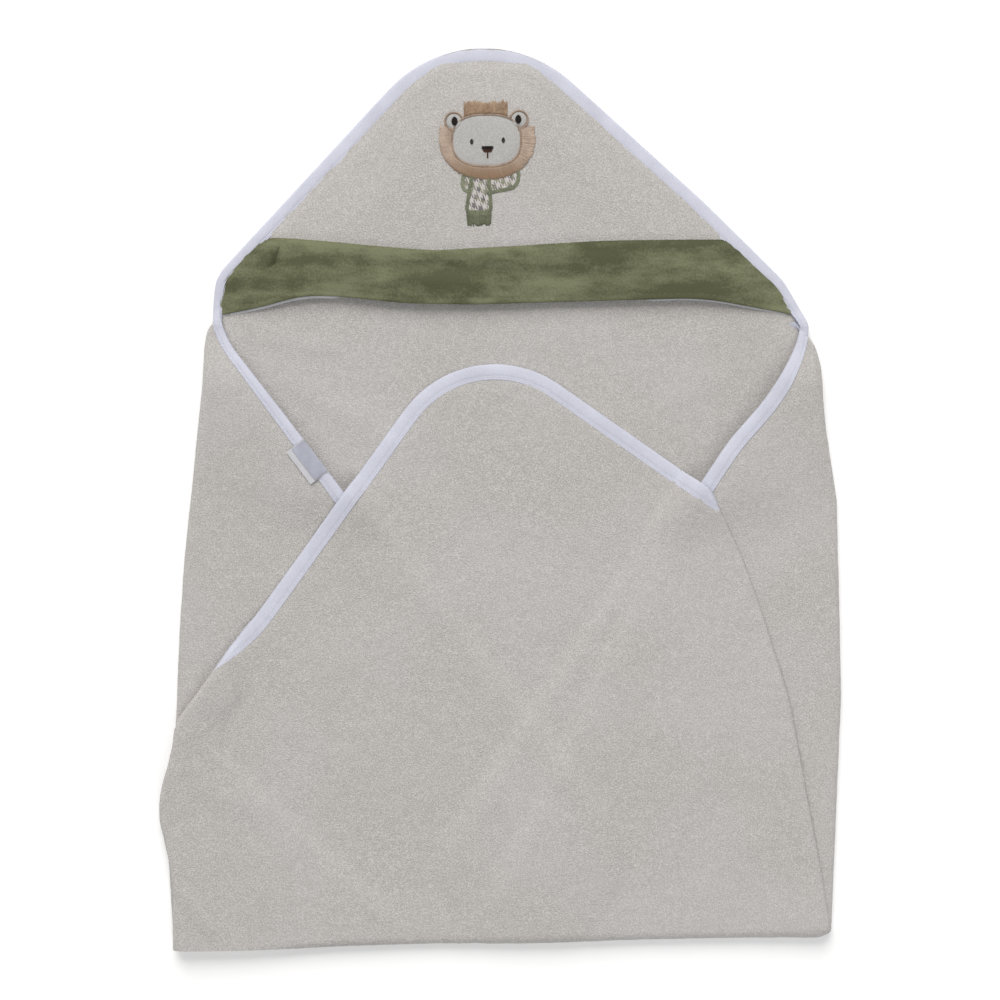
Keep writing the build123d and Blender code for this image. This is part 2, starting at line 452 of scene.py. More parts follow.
def bottom_radius(edge_x, y):
    """The radius of the turn at a side of the bottom flap."""
    return np.maximum((bottom_level(edge_x, y) - bottom_low_level(edge_x, y)) / 2, SMALLEST_TURN)


def bottom_flap_surface(x, y):
    """The lower corner folded up over the others, with its sides turned under."""
    left, right = bottom_left_edge(y), BOTTOM_FLAP.right(y)
    left_x, left_angle = fold_sideways(x, left, -1, bottom_radius(left, y))
    right_x, right_angle = fold_sideways(x, right, 1, bottom_radius(right, y))
    at_left = (x < (left + right) / 2) & (y < -0.070)
    at_right = (x >= (left + right) / 2) & (y < RIGHT_UNDER.top)
    x_out = np.where(at_left, left_x, np.where(at_right, right_x, x))
    angle = np.where(at_left, left_angle, np.where(at_right, right_angle, 0))
    z_out = between_levels(bottom_level(x_out, y), bottom_low_level(x_out, y), angle)
    y_out, z_out = roll_at_crease(x_out, y, z_out, from_above=True)
    return np.stack([x_out, y_out, z_out], -1)


def hood_inset(x, y):
    """The distance in from the hood's taped edge."""
    inside = np.minimum(x - HOOD.left(y), HOOD.right(y) - x) * EDGE_SLANT
    return np.minimum(inside, HOOD.top - y)


def hood_rise(x, y):
    """How far the hood panel stands off the back of the towel."""
    return HOOD_PUFF * smooth_step((hood_inset(x, y) - 5 * MM) / HOOD_PUFF_REACH)


def hood_surface(x, y):
    """The front of the hood."""
    hills = 0.40 * noise(x, y, 50 * MM, 21) + 0.2 * noise(x, y, 17 * MM, 22)
    free = clear_of_tape(hood_inset(x, y))
    z = BACK_MID + PINCHED + (TERRY - PINCHED + MM * hills) * free + hood_rise(x, y)
    return np.stack([x, y, z], -1)


def neck_share(y):
    """1 where the hood's tape has climbed on to the side flaps, 0 where it is still on the hood."""
    return smooth_step((0.1275 - y) / 0.012)


def hood_edge_surface(x, y):
    """The middle of what the hood's tape holds; its two ends sink into the side flaps' tape."""
    flap = np.where(x < 0, left_level(x, y), right_level(x, y)) + 0.35 * MM
    flap = flap - 1.1 * MM * smooth_step((0.1175 - y) / 0.006)
    z = (BACK_MID + PINCHED / 2) * (1 - neck_share(y)) + flap * neck_share(y)
    return np.stack([x, y, z], -1)


BAND_TOP = [(-0.162, 0.1740), (-0.146, 0.1745), (-0.110, 0.1712), (-0.085, 0.1688), (-0.045, 0.1655),
            (0.0, 0.168), (0.067, 0.172), (0.158, 0.1735)]
BAND_HEM = [(-0.192, 0.1230), (-0.159, 0.1288), (-0.141, 0.1340), (-0.125, 0.1365), (-0.105, 0.1355),
            (-0.062, 0.1310), (-0.017, 0.1303), (0.039, 0.132), (0.127, 0.1345), (0.1466, 0.1328),
            (0.166, 0.1292), (0.200, 0.1235)]
HEM_STITCH = 3.4 * MM       # from the hem to its topstitching
BAND_FOLDS = [
    ((-0.125, 0.1575), (0.050, 0.1525), 4.5, -1.4),
    ((-0.145, 0.1500), (0.020, 0.1430), 5.0, 1.12),
    ((0.010, 0.1610), (0.155, 0.1600), 5.0, 0.7),
    ((-0.1455, 0.1770), (-0.1520, 0.1530), 1.5, -2.38),
    ((-0.1490, 0.1790), (-0.1555, 0.1540), 2.4, 1.82),
    ((-0.1430, 0.1560), (-0.1330, 0.1290), 2.0, 1.54),
    ((-0.1730, 0.1560), (-0.1800, 0.1310), 2.6, -1.96),
    ((-0.1660, 0.1580), (-0.1690, 0.1300), 3.0, 1.4),
    ((0.168, 0.1600), (0.160, 0.1360), 3.0, 0.98),
]


def curve_through(points, x):
    """The height of a gentle line through a few points."""
    xs, ys = np.array(points).T
    dense = np.linspace(xs[0], xs[-1], 240)
    return np.interp(x, dense, soften(np.interp(dense, xs, ys), 9))


def band_top(x):
    return curve_through(BAND_TOP, x)


def band_hem(x):
    return curve_through(BAND_HEM, x)


def band_surface(x, y):
    """The velour band at the mouth of the hood, with its pulls and pleats."""
    free = smooth_step((hood_inset(x, y) - 7 * MM) / (6 * MM))
    free = free * smooth_step((band_top(x) - y + 1 * MM) / (9 * MM))
    folds = creases(x, y, BAND_FOLDS) + MM * 0.25 * noise(x * 0.6, y * 1.6, 16 * MM, 31)
    z = hood_surface(x, y)[..., 2] + 0.3 * MM + free * folds
    return np.stack([x, y, z], -1)


# ==== mesh builders ================================================================================

def new_mesh(name, points, faces, smooth_angle=50):
    """A mesh object, with doubled points merged, faces turned outwards and its hard corners kept."""
    mesh = bpy.data.meshes.new(name)
    mesh.from_pydata(np.asarray(points, float).reshape(-1, 3).tolist(), [], np.asarray(faces).tolist())
    shape = bmesh.new()
    shape.from_mesh(mesh)
    bmesh.ops.remove_doubles(shape, verts=shape.verts, dist=0.02 * MM)
    bmesh.ops.recalc_face_normals(shape, faces=shape.faces)
    shape.to_mesh(mesh)
    shape.free()
    mesh.shade_smooth()
    mesh.set_sharp_from_angle(angle=math.radians(smooth_angle))
    obj = bpy.data.objects.new(name, mesh)
    bpy.context.scene.collection.objects.link(obj)
    return obj


def grid_faces(rows, columns, offset=0):
    index = offset + np.arange(rows * columns).reshape(rows, columns)
    corners = [index[:-1, :-1], index[:-1, 1:], index[1:, 1:], index[1:, :-1]]
    return np.stack([c.ravel() for c in corners], -1)


def shell_faces(rows, columns):
    """The faces of a closed shell: an upper grid, a lower grid and the rim between them."""
    count = rows * columns
    index = np.arange(count).reshape(rows, columns)
    rim = np.concatenate([index[0, :], index[1:, -1], index[-1, -2::-1], index[-2:0:-1, 0]])
    after = np.roll(rim, -1)
    sides = np.stack([rim, rim + count, after + count, after], -1)
    return np.concatenate([grid_faces(rows, columns), grid_faces(rows, columns, count)[:, ::-1], sides])


def grid_normals(points):
    """The unit normal at each point of a grid, pointing up where the grid lies flat."""
    return unit(np.cross(np.gradient(points, axis=1), np.gradient(points, axis=0)))


def closed_sheet(name, middle, half, lift=0.0, normal=None):
    """A closed sheet of cloth round a grid of middle points, `half` thick on each side."""
    rows, columns = middle.shape[:2]
    normal = grid_normals(middle) if normal is None else normal
    half = np.broadcast_to(half, (rows, columns))[..., None]
    lift = np.broadcast_to(lift, (rows, columns))[..., None]
    upper = middle + normal * (half + lift)
    lower = middle - normal * half
    points = np.concatenate([upper.reshape(-1, 3), lower.reshape(-1, 3)])
    return new_mesh(name, points, shell_faces(rows, columns))


def terry_half(distance):
    """Half the thickness of terry at a distance from its taped edge."""
    return (PINCHED + (TERRY - PINCHED) * clear_of_tape(distance)) / 2


def pile(x, y, seed, distance=1.0):
    """The small hills and hollows of the pile, pressed flat near a taped edge."""
    free = smooth_step((distance - 9 * MM) / (5 * MM))
    return MM * free * (0.15 * noise(x, y, 5.5 * MM, seed) + 0.12 * noise(x, y, 3.0 * MM, seed + 1))


def rows_between(bottom, top, tip=0.0):
    """Row heights, drawn together over the last `tip` where the cloth ends in a rounded corner."""
    plain = np.linspace(bottom, top - tip, max(3, int((top - tip - bottom) / GRID)))
    if tip == 0:
        return plain
    return np.concatenate([plain, top - tip * (1 - np.linspace(0, 1, 22)[1:]) ** 1.7])


def row_grid(knots, counts, rows):
    """Flat x and y of a grid whose columns are spread between knots that each row gives."""
    knots = [np.broadcast_to(k, rows.shape) for k in knots]
    parts = []
    for start, end, count in zip(knots, knots[1:], counts):
        end = np.maximum(end, start)
        parts.append(start[:, None] + (end - start)[:, None] * np.linspace(0, 1, count + 1)[:-1])
    x = np.concatenate(parts + [knots[-1][:, None]], axis=1)
    return np.maximum.accumulate(x, axis=1), np.repeat(rows[:, None], x.shape[1], axis=1)


def inward(path):
    """The unit plan direction from each point of an anticlockwise path into the cloth."""
    return to_the_left(unit(np.gradient(path, axis=0)))


def surface_frame(surface, x, y):
    """Points and unit normals of a folded surface."""
    tiny = 0.3 * MM
    across = surface(x + tiny, y) - surface(x - tiny, y)
    along = surface(x, y + tiny) - surface(x, y - tiny)
    return surface(x, y), unit(np.cross(across, along))


# The tape's outer profile in mm: distance in from the cut edge, and height over the cloth's middle.
TAPE_PROFILE = [(12.3, 0.70), (12.1, 1.05), (11.5, 1.16), (10.9, 0.95), (10.3, 1.18), (9.6, 1.26),
                (9.0, 1.10), (8.4, 1.34), (7.2, 1.48), (6.0, 1.56), (4.6, 1.55), (3.2, 1.49),
                (2.0, 1.40), (1.0, 1.26), (0.2, 1.05), (-0.4, 0.75), (-0.8, 0.3)]


def tape(name, edge, surface, thick, width):
    """Binding tape wrapped round a cut edge: a C-shaped section swept along it.

    `width` is the share of the tape that shows, for each point of the edge; the rest is rolled in.
    """
    outer = [(d * MM, h * thick * MM) for d, h in TAPE_PROFILE]
    outer = outer + [(d, -h) for d, h in outer[::-1]]
    inner = [(max(d, 0.2 * MM), h - math.copysign(min(TAPE_WALL, abs(h) * 0.8), h))
             for d, h in outer[::-1]]
    section = np.array(outer + inner)
    into = inward(edge)
    distance = section[:, 0] * width[:, None]
    x = edge[:, 0, None] + into[:, 0, None] * distance
    y = edge[:, 1, None] + into[:, 1, None] * distance
    point, normal = surface_frame(surface, x, y)
    wrinkle = 1 + 0.12 * noise(edge[:, 0], edge[:, 1], 7 * MM, 41)[:, None]
    rings = point + normal * (section[:, 1] * wrinkle)[..., None]
    rows, columns = rings.shape[:2]
    closed = np.concatenate([rings, rings[:, :1]], axis=1)
    half = len(outer)
    caps = []
    for start in (0, (rows - 1) * (columns + 1)):
        for k in range(half - 1):
            caps.append([start + k, start + k + 1, start + columns - 2 - k, start + columns - 1 - k])
    return new_mesh(name, closed, np.concatenate([grid_faces(rows, columns + 1), caps]), 60)


def stitch_row(name, line, surface, height, gap=1.1 * MM):
    """A row of separate raised stitches along a plan line."""
    spots = resample(line, STITCH_LENGTH + gap)[1:-1]
    ahead = unit(np.gradient(spots, axis=0))
    aside = to_the_left(ahead)
    s, c = [g.ravel() for g in np.meshgrid(np.linspace(-1, 1, 5), np.linspace(-1, 1, 5), indexing="ij")]
    swell = np.sqrt(np.clip(1 - s ** 4, 0, 1))
    rise = 0.30 * MM * swell * np.sqrt(np.clip(1 - c ** 2, 0, 1))
    plan = (spots[:, None] + ahead[:, None] * (s * STITCH_LENGTH / 2)[None, :, None]
            + aside[:, None] * (c * STITCH_WIDTH / 2 * (0.35 + 0.65 * swell))[None, :, None])
    base, normal = surface_frame(surface, plan[..., 0], plan[..., 1])
    upper = base + normal * (height + rise)[None, :, None]
    lower = base + normal * (height - 0.5 * rise)[None, :, None]
    points = np.concatenate([upper, lower], axis=1)
    faces = [shell_faces(5, 5) + k * 50 for k in range(len(spots))]
    return new_mesh(name, points, np.concatenate(faces), 80)


# ==== materials ====================================================================================

class Shader:
    """A short way to build a node material."""

    def __init__(self, name):
        self.material = bpy.data.materials.new(name)
        self.material.use_nodes = True
        self.tree = self.material.node_tree
        self.main = self.tree.nodes["Principled BSDF"]
        self.where = self.add("TexCoord").outputs["Object"]

    def feed(self, socket, value):
        """Links a socket, or sets it to a number, a vector or a colour."""
        if isinstance(value, bpy.types.NodeSocket):
            self.tree.links.new(value, socket)
        else:
            socket.default_value = (*value, 1) if socket.type == "RGBA" else value

    def add(self, kind, **inputs):
        """A new node; in the names of its inputs an underscore stands for a space."""
        node = self.tree.nodes.new("ShaderNode" + kind)
        for key, value in inputs.items():
            self.feed(node.inputs[key.replace("_", " ")], value)
        return node

    def set(self, **values):
        for key, value in values.items():
            self.feed(self.main.inputs[key.replace("_", " ")], value)

    def scaled(self, factors, turn=0.0):
        return self.add("Mapping", Vector=self.where, Scale=factors, Rotation=(0, 0, turn)).outputs["Vector"]

    def noise(self, scale, detail=2.0, where=None, rough=0.5):
        node = self.add("TexNoise", Vector=where or self.where, Scale=scale, Detail=detail, Roughness=rough)
        return node.outputs["Fac"]

    def cells(self, scale):
        return self.add("TexVoronoi", Vector=self.where, Scale=scale).outputs["Distance"]

    def wave(self, scale, where, distortion=0.0):
        node = self.add("TexWave", Vector=where, Scale=scale, Distortion=distortion, Detail=1.0)
        return node.outputs["Fac"]

    def split(self, vector):
        return self.add("SeparateXYZ", Vector=vector).outputs

    def maths(self, kind, a, b=0.0):
        node = self.add("Math")
        node.operation = kind
        self.feed(node.inputs[0], a)
        self.feed(node.inputs[1], b)
        return node.outputs["Value"]

    def total(self, *shares):
        """The sum of some values, each times its weight."""
        parts = [self.maths("MULTIPLY", value, weight) for value, weight in shares]
        whole = parts[0]
        for part in parts[1:]:
            whole = self.maths("ADD", whole, part)
        return whole

    def ramp(self, factor, *stops):
        node = self.add("ValToRGB", Fac=factor)
        for element, (at, colour) in zip(node.color_ramp.elements, stops):
            element.position = at
            element.color = (*colour, 1)
        return node.outputs["Color"]

    def mix(self, factor, a, b):
        node = self.add("Mix")
        node.data_type = "RGBA"
        for place, value in ((0, factor), (6, a), (7, b)):
            self.feed(node.inputs[place], value)
        return node.outputs[2]

    def bump(self, height, distance):
        self.set(Normal=self.add("Bump", Height=height, Distance=distance, Strength=1.0).outputs["Normal"])

    def colour(self, socket):
        self.set(Base_Color=socket)


BLACK, WHITE = (0, 0, 0), (1, 1, 1)


def terry_material(name, light, dark, loop=1500.0, depth=0.45):
    """Looped cotton pile: small loops of uneven height, with painted shade that darkens the hollows between
    them (besides some uneven tone of the loops), and large soft changes of tint.
    """
    s = Shader(name)
    clumps = s.noise(230.0)
    height = s.total((s.noise(loop * 0.62, rough=0.7), 1.1), (s.cells(loop), -0.7))
    # painted shade: the colour follows the pile's bump height, darker in the hollows between loops and clumps
    base = s.ramp(s.total((height, 0.8), (clumps, 0.16)), (0.12, dark), (0.50, light))
    cool = tuple(c * k for c, k in zip(light, (0.965, 0.975, 1.04)))
    tint = s.ramp(s.noise(9.0, 1.0), (0.42, BLACK), (0.62, WHITE))
    s.colour(s.mix(s.maths("MULTIPLY", tint, 0.16), base, cool))
    s.bump(s.total((height, 1.0), (clumps, 0.5)), depth * MM)
    s.set(Roughness=0.95, Sheen_Weight=0.22, Sheen_Roughness=0.6, Specular_IOR_Level=0.12)
    return s.material


def velour_material(name, light, dark):
    """Short cut pile that lies in long brushed patches."""
    s = Shader(name)
    brushed = s.noise(30.0, 3.0, s.scaled((0.45, 1.9, 1.0)), 0.55)
    rubbed = s.noise(120.0, where=s.scaled((0.6, 1.1, 1.0)))
    pile = s.noise(750.0)
    s.colour(s.ramp(s.total((brushed, 0.62), (rubbed, 0.18), (pile, 0.20)), (0.42, dark), (0.58, light)))
    s.bump(pile, 0.4 * MM)
    s.set(Roughness=0.9, Sheen_Weight=0.35, Sheen_Roughness=0.4, Specular_IOR_Level=0.1)
    return s.material


def tape_material(name, light, dark):
    """Fine knitted tape: small loops in rows, a little uneven."""
    s = Shader(name)
    ribs = s.wave(420.0, s.scaled((1, 1, 1), 0.8), 1.5)
    cross = s.wave(420.0, s.scaled((1, 1, 1), -0.8), 1.5)
    height = s.maths("MULTIPLY", ribs, cross)
    shade = s.total((height, 0.30), (s.noise(55.0), 0.45), (s.noise(800.0, 1.0), 0.30))
    s.colour(s.ramp(shade, (0.20, dark), (0.65, light)))
    s.bump(height, 0.12 * MM)
    s.set(Roughness=0.8, Sheen_Weight=0.15, Specular_IOR_Level=0.2)
    return s.material


def thread_material(name, light, dark, gloss=0.45, fade=None):
    """Lustrous embroidery thread. `fade` is a darker colour and the heights that it runs between."""
    s = Shader(name)
    strands = s.noise(900.0)
    colour = s.ramp(s.total((strands, 0.5), (s.noise(160.0), 0.5)), (0.36, dark), (0.62, light))
    if fade:
        low_colour, start, end = fade
        height = s.split(s.where)["Y"]
        share = s.maths("DIVIDE", s.maths("SUBTRACT", height, start), end - start)
        colour = s.mix(s.ramp(share, (0.0, BLACK), (1.0, WHITE)), low_colour, colour)
    s.colour(colour)
    s.bump(strands, 0.06 * MM)
    s.set(Roughness=gloss, Specular_IOR_Level=0.35, Sheen_Weight=0.1)
    return s.material


def check_material(name, pale, dark, olive, size=4.6 * MM):
    """A small broken check: squares of two colours joined by slanting teeth, a little unevenly printed."""
    s = Shader(name)
    place = s.split(s.scaled((1 / size, 0.8 / size, 1), 0.35))
    u, v = (s.maths("FRACT", place[axis]) for axis in "XY")
    right = s.maths("GREATER_THAN", u, 0.5)
    upper = s.maths("GREATER_THAN", v, 0.5)
    slant = s.maths("FRACT", s.maths("MULTIPLY", s.maths("ADD", u, v), 2.0))
    tooth = s.maths("GREATER_THAN", slant, 0.5)
    both = s.maths("MULTIPLY", right, upper)
    either = s.maths("SUBTRACT", s.maths("ADD", right, upper), s.maths("MULTIPLY", both, 2.0))
    inked = s.maths("ADD", both, s.maths("MULTIPLY", either, tooth))
    soft = s.maths("MULTIPLY", inked, s.maths("ADD", s.maths("MULTIPLY", s.noise(500.0), 0.7), 0.4))
    ink = s.mix(s.ramp(s.noise(260.0), (0.44, BLACK), (0.56, WHITE)), dark, olive)
    s.colour(s.mix(soft, pale, ink))
    s.bump(s.wave(900.0, s.scaled((1, 0.02, 1))), 0.05 * MM)
    s.set(Roughness=0.85, Specular_IOR_Level=0.15)
    return s.material


def satin_material(name, light, dark):
    """Woven ribbon with a faint crosswise rib."""
    s = Shader(name)
    rib = s.wave(700.0, s.scaled((1, 1, 1), math.radians(38)))
    s.colour(s.ramp(s.total((rib, 0.25), (s.noise(120.0), 0.6)), (0.25, dark), (0.62, light)))
    s.bump(rib, 0.03 * MM)
    s.set(Roughness=0.38, Specular_IOR_Level=0.5, Anisotropic=0.5)
    return s.material


# the second colour of each pile is painted shade for the hollows between its loops, with some uneven tone
TERRY_CLOTH = terry_material("terry_cloth", (0.70, 0.673, 0.650), (0.455, 0.434, 0.412))
FLEECE = terry_material("fleece_cloth", (0.575, 0.565, 0.55), (0.43, 0.42, 0.405), 1700.0, 0.2)
GREEN_VELOUR = velour_material("green_velour", (0.205, 0.215, 0.128), (0.098, 0.102, 0.056))
WHITE_TAPE = tape_material("white_tape", (0.72, 0.735, 0.84), (0.56, 0.57, 0.66))
WHITE_CLOTH = tape_material("white_facing", (0.80, 0.80, 0.84), (0.66, 0.66, 0.70))
WHITE_THREAD = thread_material("white_thread", (0.76, 0.77, 0.86), (0.60, 0.61, 0.69), 0.6)
TAN_THREAD = thread_material("tan_thread", (0.46, 0.33, 0.225), (0.25, 0.165, 0.105))
RIM_THREAD = thread_material("rim_thread", (0.54, 0.42, 0.33), (0.34, 0.25, 0.19))
MANE_THREAD = thread_material("mane_thread", (0.60, 0.475, 0.38), (0.42, 0.32, 0.25),
                              fade=((0.32, 0.215, 0.140), 0.2165, 0.2300))
BROWN_THREAD = thread_material("brown_thread", (0.060, 0.044, 0.042), (0.022, 0.017, 0.018))
EYE_THREAD = thread_material("eye_thread", (0.125, 0.108, 0.100), (0.050, 0.042, 0.040))
NOSE_THREAD = thread_material("nose_thread", (0.045, 0.038, 0.045), (0.020, 0.017, 0.020),
                              fade=((0.135, 0.068, 0.050), 0.2330, 0.2342))
SAGE_THREAD = thread_material("sage_thread", (0.255, 0.275, 0.18), (0.14, 0.153, 0.097))
DARK_SAGE_THREAD = thread_material("dark_sage_thread", (0.185, 0.200, 0.125), (0.095, 0.102, 0.060))
CHECK_CLOTH = check_material("check_cloth", (0.60, 0.565, 0.545), (0.045, 0.042, 0.056), (0.20, 0.205, 0.115))
SATIN = satin_material("satin_ribbon", (0.50, 0.515, 0.60), (0.34, 0.35, 0.42))
LABEL_CLOTH = satin_material("label_cloth", (0.66, 0.66, 0.69), (0.56, 0.56, 0.59))


def dress(obj, material, slot, *nodes):
    """Gives a piece its material and hides the CAD nodes that it stands for. `slot` is not used."""
    obj.data.materials.append(material)
    if nodes:
        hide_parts(*nodes)


def bend_at_neck(obj):
    """Bakes the transform of cloth that runs from the towel into the hood into its mesh."""
    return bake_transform(obj)


def bend_at_crease(obj):
    """Bakes the transform of cloth that runs from the back into the bottom flap into its mesh."""
    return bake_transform(obj)


# ==== terry pieces =================================================================================

def build_back():
    """The back of the towel and the corner behind the hood, one piece of terry."""
    rows = rows_between(LOWEST_ROW, HOOD.top - TAPE_WRAP, tip=ROUND_TIP)
    neck = smooth_step((rows - NECK_Y + 12 * MM) / (12 * MM))
    left_edge, right_edge = left_side(rows), right_side(rows)
    left_fold = left_edge + side_radius(left_level, left_edge, rows)
    right_fold = right_edge - side_radius(right_level, right_edge, rows)
    left = left_fold * (1 - neck) + (HOOD.left(rows) + TAPE_WRAP) * neck
    right = right_fold * (1 - neck) + (HOOD.right(rows) - TAPE_WRAP) * neck
    x, y = row_grid([left, right], [172], rows)
    y = roll_rows(x, y)
    edge = np.minimum(x - left[:, None], right[:, None] - x) * EDGE_SLANT
    edge = np.minimum(edge, HOOD.top - y)
    half = np.where(y > NECK_Y - 0.012, terry_half(edge), TERRY / 2)
    half = TERRY / 2 * (1 - neck[:, None]) + half * neck[:, None]
    point, normal = surface_frame(back_surface, x, y)
    from_tape = half * 14       # the terry is thinner near the tape, so this stands for the distance
    obj = closed_sheet("terry_back", point, half, pile(x, y, 61, from_tape), normal)
    dress(obj, TERRY_CLOTH, "terry", "towel_back_panel", "towel_hood_corner")
    return bend_at_neck(obj)


def left_cut():
    """The left flap's cut edge: up from the lower crease, then round into the side of the neck."""
    straight = resample(LEFT_FLAP.part((0.020, -0.296), (-0.1925, 0.122)), EDGE_SPACING)
    straight = straight[(straight[:, 1] < 0.066) & (straight[:, 1] > TAPE_FOOT)]
    turn = [(-0.1580, 0.0762), (-0.1678, 0.0890), (-0.1783, 0.1018), (-0.1850, 0.1146), (-0.1872, 0.1262)]
    path = smooth_path(np.concatenate([straight, turn]), EDGE_SPACING, 6)
    return path + inward(path) * TAPE_WRAP


def right_cut():
    """The right flap's cut edge: down from the side of the neck to the lower crease."""
    straight = resample(RIGHT_FLAP.part((0.206, 0.120), (0.015, -0.296)), EDGE_SPACING)
    straight = straight[(straight[:, 1] < 0.040) & (straight[:, 1] > TAPE_FOOT)]
    turn = [(0.2008, 0.1196), (0.2002, 0.1140), (0.1978, 0.1042), (0.1890, 0.0868), (0.1755, 0.0660)]
    path = smooth_path(np.concatenate([turn, straight]), EDGE_SPACING, 6)
    return path + inward(path) * TAPE_WRAP


def build_side_flap(name, node, surface, level, edge_of, cut, side, seed):
    """A side corner of the towel with the roll that joins it to the back."""
    rows = rows_between(LOWEST_ROW, NECK_Y - 0.5 * MM)
    fold = edge_of(rows)
    radius = side_radius(level, fold, rows)
    seam_x = fold + side * (math.pi - 1) * radius
    turn_x = fold - side * radius
    climbing = np.argsort(cut[:, 1])
    free_x = np.interp(rows, cut[climbing, 1], cut[climbing, 0])
    free_x = np.where(side * (seam_x - free_x) < 2 * MM, seam_x - side * 2 * MM, free_x)
    if side < 0:
        x, y = row_grid([seam_x, np.minimum(turn_x, free_x), free_x], [12, 124], rows)
    else:
        x, y = row_grid([free_x, np.maximum(turn_x, free_x), seam_x], [124, 12], rows)
    distance = side * (x - free_x[:, None]) * EDGE_SLANT
    y = roll_rows(surface(x, y)[..., 0], y)
    point, normal = surface_frame(surface, x, y)
    obj = closed_sheet(name, point, terry_half(distance), pile(x, y, seed, distance), normal)
    dress(obj, TERRY_CLOTH, "terry", node)
    return bend_at_neck(obj)


def bottom_cut():
    """The bottom flap's cut edge laid flat, from its right end round the tip to its left end."""
    right_under = resample(RIGHT_UNDER.part((0.138, 0.0086), (-0.011, -0.296))[::-1], 4 * MM)[:-2]
    edge = BOTTOM_FLAP.right(right_under[:, 1])
    radius = bottom_radius(edge, right_under[:, 1])
    right_x = 2 * edge - right_under[:, 0] + (math.pi - 2) * radius
    tip = resample(BOTTOM_FLAP.part((0.138, 0.0086), (-0.213, -0.152)), EDGE_SPACING)
    tip = tip[(tip[:, 1] > -0.074) | (tip[:, 0] > 0)]
    left_y = np.arange(-0.077, -0.296, -2 * MM)
    edge = bottom_left_edge(left_y)
    turned = left_turn(left_y)
    left_x = edge - turned - (math.pi - 2) * bottom_radius(edge, left_y) * smooth_step(turned / 0.02)
    path = np.concatenate([np.stack([right_x, right_under[:, 1]], -1), tip, np.stack([left_x, left_y], -1)])
    path = smooth_path(path, 2.0 * MM, 4)
    return path + inward(path) * TAPE_WRAP


def build_bottom_flap(cut):
    """The lower corner with its turned-under sides, from the lower crease to its tip."""
    apex = int(np.argmax(cut[:, 1]))
    rows = rows_between(LOWEST_ROW, cut[apex, 1], tip=ROUND_TIP)
    right = np.interp(rows, cut[:apex + 1, 1], cut[:apex + 1, 0])
    left = np.interp(rows, cut[apex:, 1][::-1], cut[apex:, 0][::-1])
    left_fold, right_fold = bottom_left_edge(rows), BOTTOM_FLAP.right(rows)
    left_radius, right_radius = bottom_radius(left_fold, rows), bottom_radius(right_fold, rows)
    knots = [left, left_fold - (math.pi - 1) * left_radius, left_fold + left_radius,
             right_fold - right_radius, right_fold + (math.pi - 1) * right_radius, right]
    knots = [np.clip(k, left, right) for k in knots]
    x, y = row_grid(knots, [56, 10, 150, 10, 84], rows)
    distance = np.minimum(x - left[:, None], right[:, None] - x) * EDGE_SLANT
    distance = np.minimum(distance, cut[apex, 1] - y)
    y = roll_rows(bottom_flap_surface(x, y)[..., 0], y)
    point, normal = surface_frame(bottom_flap_surface, x, y)
    obj = closed_sheet("terry_bottom_flap", point, terry_half(distance), pile(x, y, 71, distance), normal)
    dress(obj, TERRY_CLOTH, "terry", "towel_bottom_flap", "towel_left_under_fold", "towel_right_under_fold")
    return bend_at_crease(obj)


def fill_hood(bottom, top, shares, columns, inset):
    """Plan positions of a grid between two curves across the hood."""
    across = np.linspace(0, 1, columns)[None, :]
    y = np.full((len(shares), columns), 0.17)
    for _ in range(6):      # the hood's width and the curves' heights depend on each other
        x = (HOOD.left(y) + inset) * (1 - across) + (HOOD.right(y) - inset) * across
        y = bottom(x) + shares[:, None] * (top(x) - bottom(x))
    return x, y


def build_hood_panel():
    """The terry on the front of the hood, from the seam with the band up to the tip."""
    shares = np.concatenate([np.linspace(0, 0.78, 44), 1 - 0.22 * (1 - np.linspace(0, 1, 24)[1:]) ** 1.7])
    x, y = fill_hood(lambda x: band_top(x) - 4 * MM, lambda x: np.full_like(x, HOOD.top - TAPE_WRAP),
                     shares, 150, 2.4 * MM)
    distance = hood_inset(x, y)
    seam = smooth_step((y - band_top(x) + 1 * MM) / (6 * MM))
    middle = hood_surface(x, y)
    middle[..., 2] -= 0.7 * MM * (1 - seam)
    half = terry_half(distance) * (0.5 + 0.5 * seam)
    obj = closed_sheet("terry_hood_panel", middle, half, pile(x, y, 81, distance) * seam)
    dress(obj, TERRY_CLOTH, "terry", "hood_panel")
    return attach(obj, "hood")


def build_band():
    """The velour band across the hood's mouth, folded double, with a turned hem."""
    shares = np.concatenate([[0, 0.006, 0.015, 0.03, 0.05], np.linspace(0.075, 1, 30)])
    x, y = fill_hood(band_hem, lambda x: band_top(x) + 0.8 * MM, shares, 200, 3.6 * MM)
    from_hem, from_seam = y - band_hem(x), band_top(x) + 0.8 * MM - y
    half = VELOUR / 2 * (0.45 + 0.55 * np.sqrt(np.clip(from_hem / (0.9 * MM), 0, 1)))
    half = half * (0.5 + 0.5 * smooth_step(from_seam / (4 * MM)))
    stitched = np.exp(-((from_hem - HEM_STITCH) / (0.9 * MM)) ** 2)
    middle = band_surface(x, y)
    middle[..., 2] -= 0.35 * MM * stitched + 0.3 * MM * (1 - smooth_step(from_seam / (4 * MM)))
    edge = np.minimum(x - HOOD.left(y), HOOD.right(y) - x)
    pressed = 1 - smooth_step((edge - 7 * MM) / (7 * MM))
    half = half * (1 - 0.45 * pressed)
    obj = closed_sheet("velour_hood_band", middle, half, 0.12 * MM * noise(x, y, 3.2 * MM, 91))
    dress(obj, GREEN_VELOUR, "velour", "hood_band")
    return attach(obj, "hood")


